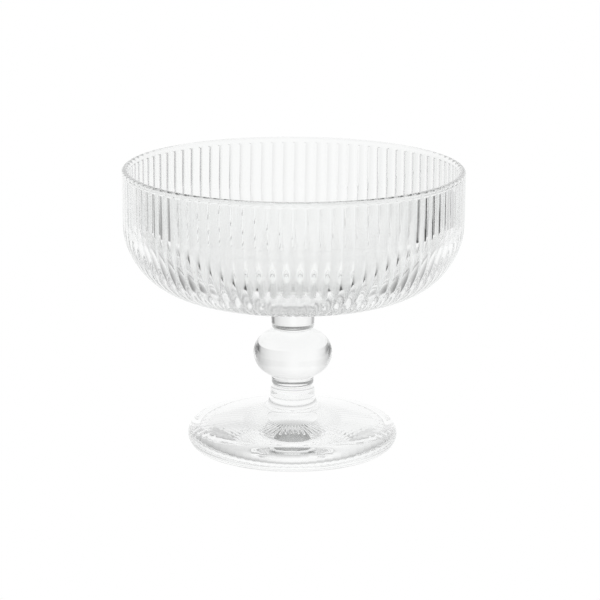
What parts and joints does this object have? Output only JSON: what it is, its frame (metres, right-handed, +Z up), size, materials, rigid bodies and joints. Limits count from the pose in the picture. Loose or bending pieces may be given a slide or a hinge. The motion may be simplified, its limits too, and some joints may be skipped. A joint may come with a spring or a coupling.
{
  "type": "footed dessert glass",
  "caption": "Low footed dessert glass: wide reeded bowl with a smooth inside, ball knop between two collars, round foot with short radial reeds underneath.",
  "frame": {"origin": "centre of the plane that the foot rests on", "axes": "+Z up along the glass's axis, towards the open bowl; the glass is alike all round, and a valley between two reeds lies on -Y"},
  "size_m": [0.115, 0.115, 0.0964],
  "materials": {
    "clear_glass": "fire-polished clear pressed soda glass"
  },
  "bodies": {
    "root": {"bowl": "clear_glass", "upper_collar": "clear_glass", "ball_knop": "clear_glass", "lower_collar": "clear_glass", "foot": "clear_glass"}
  },
  "joints": []
}
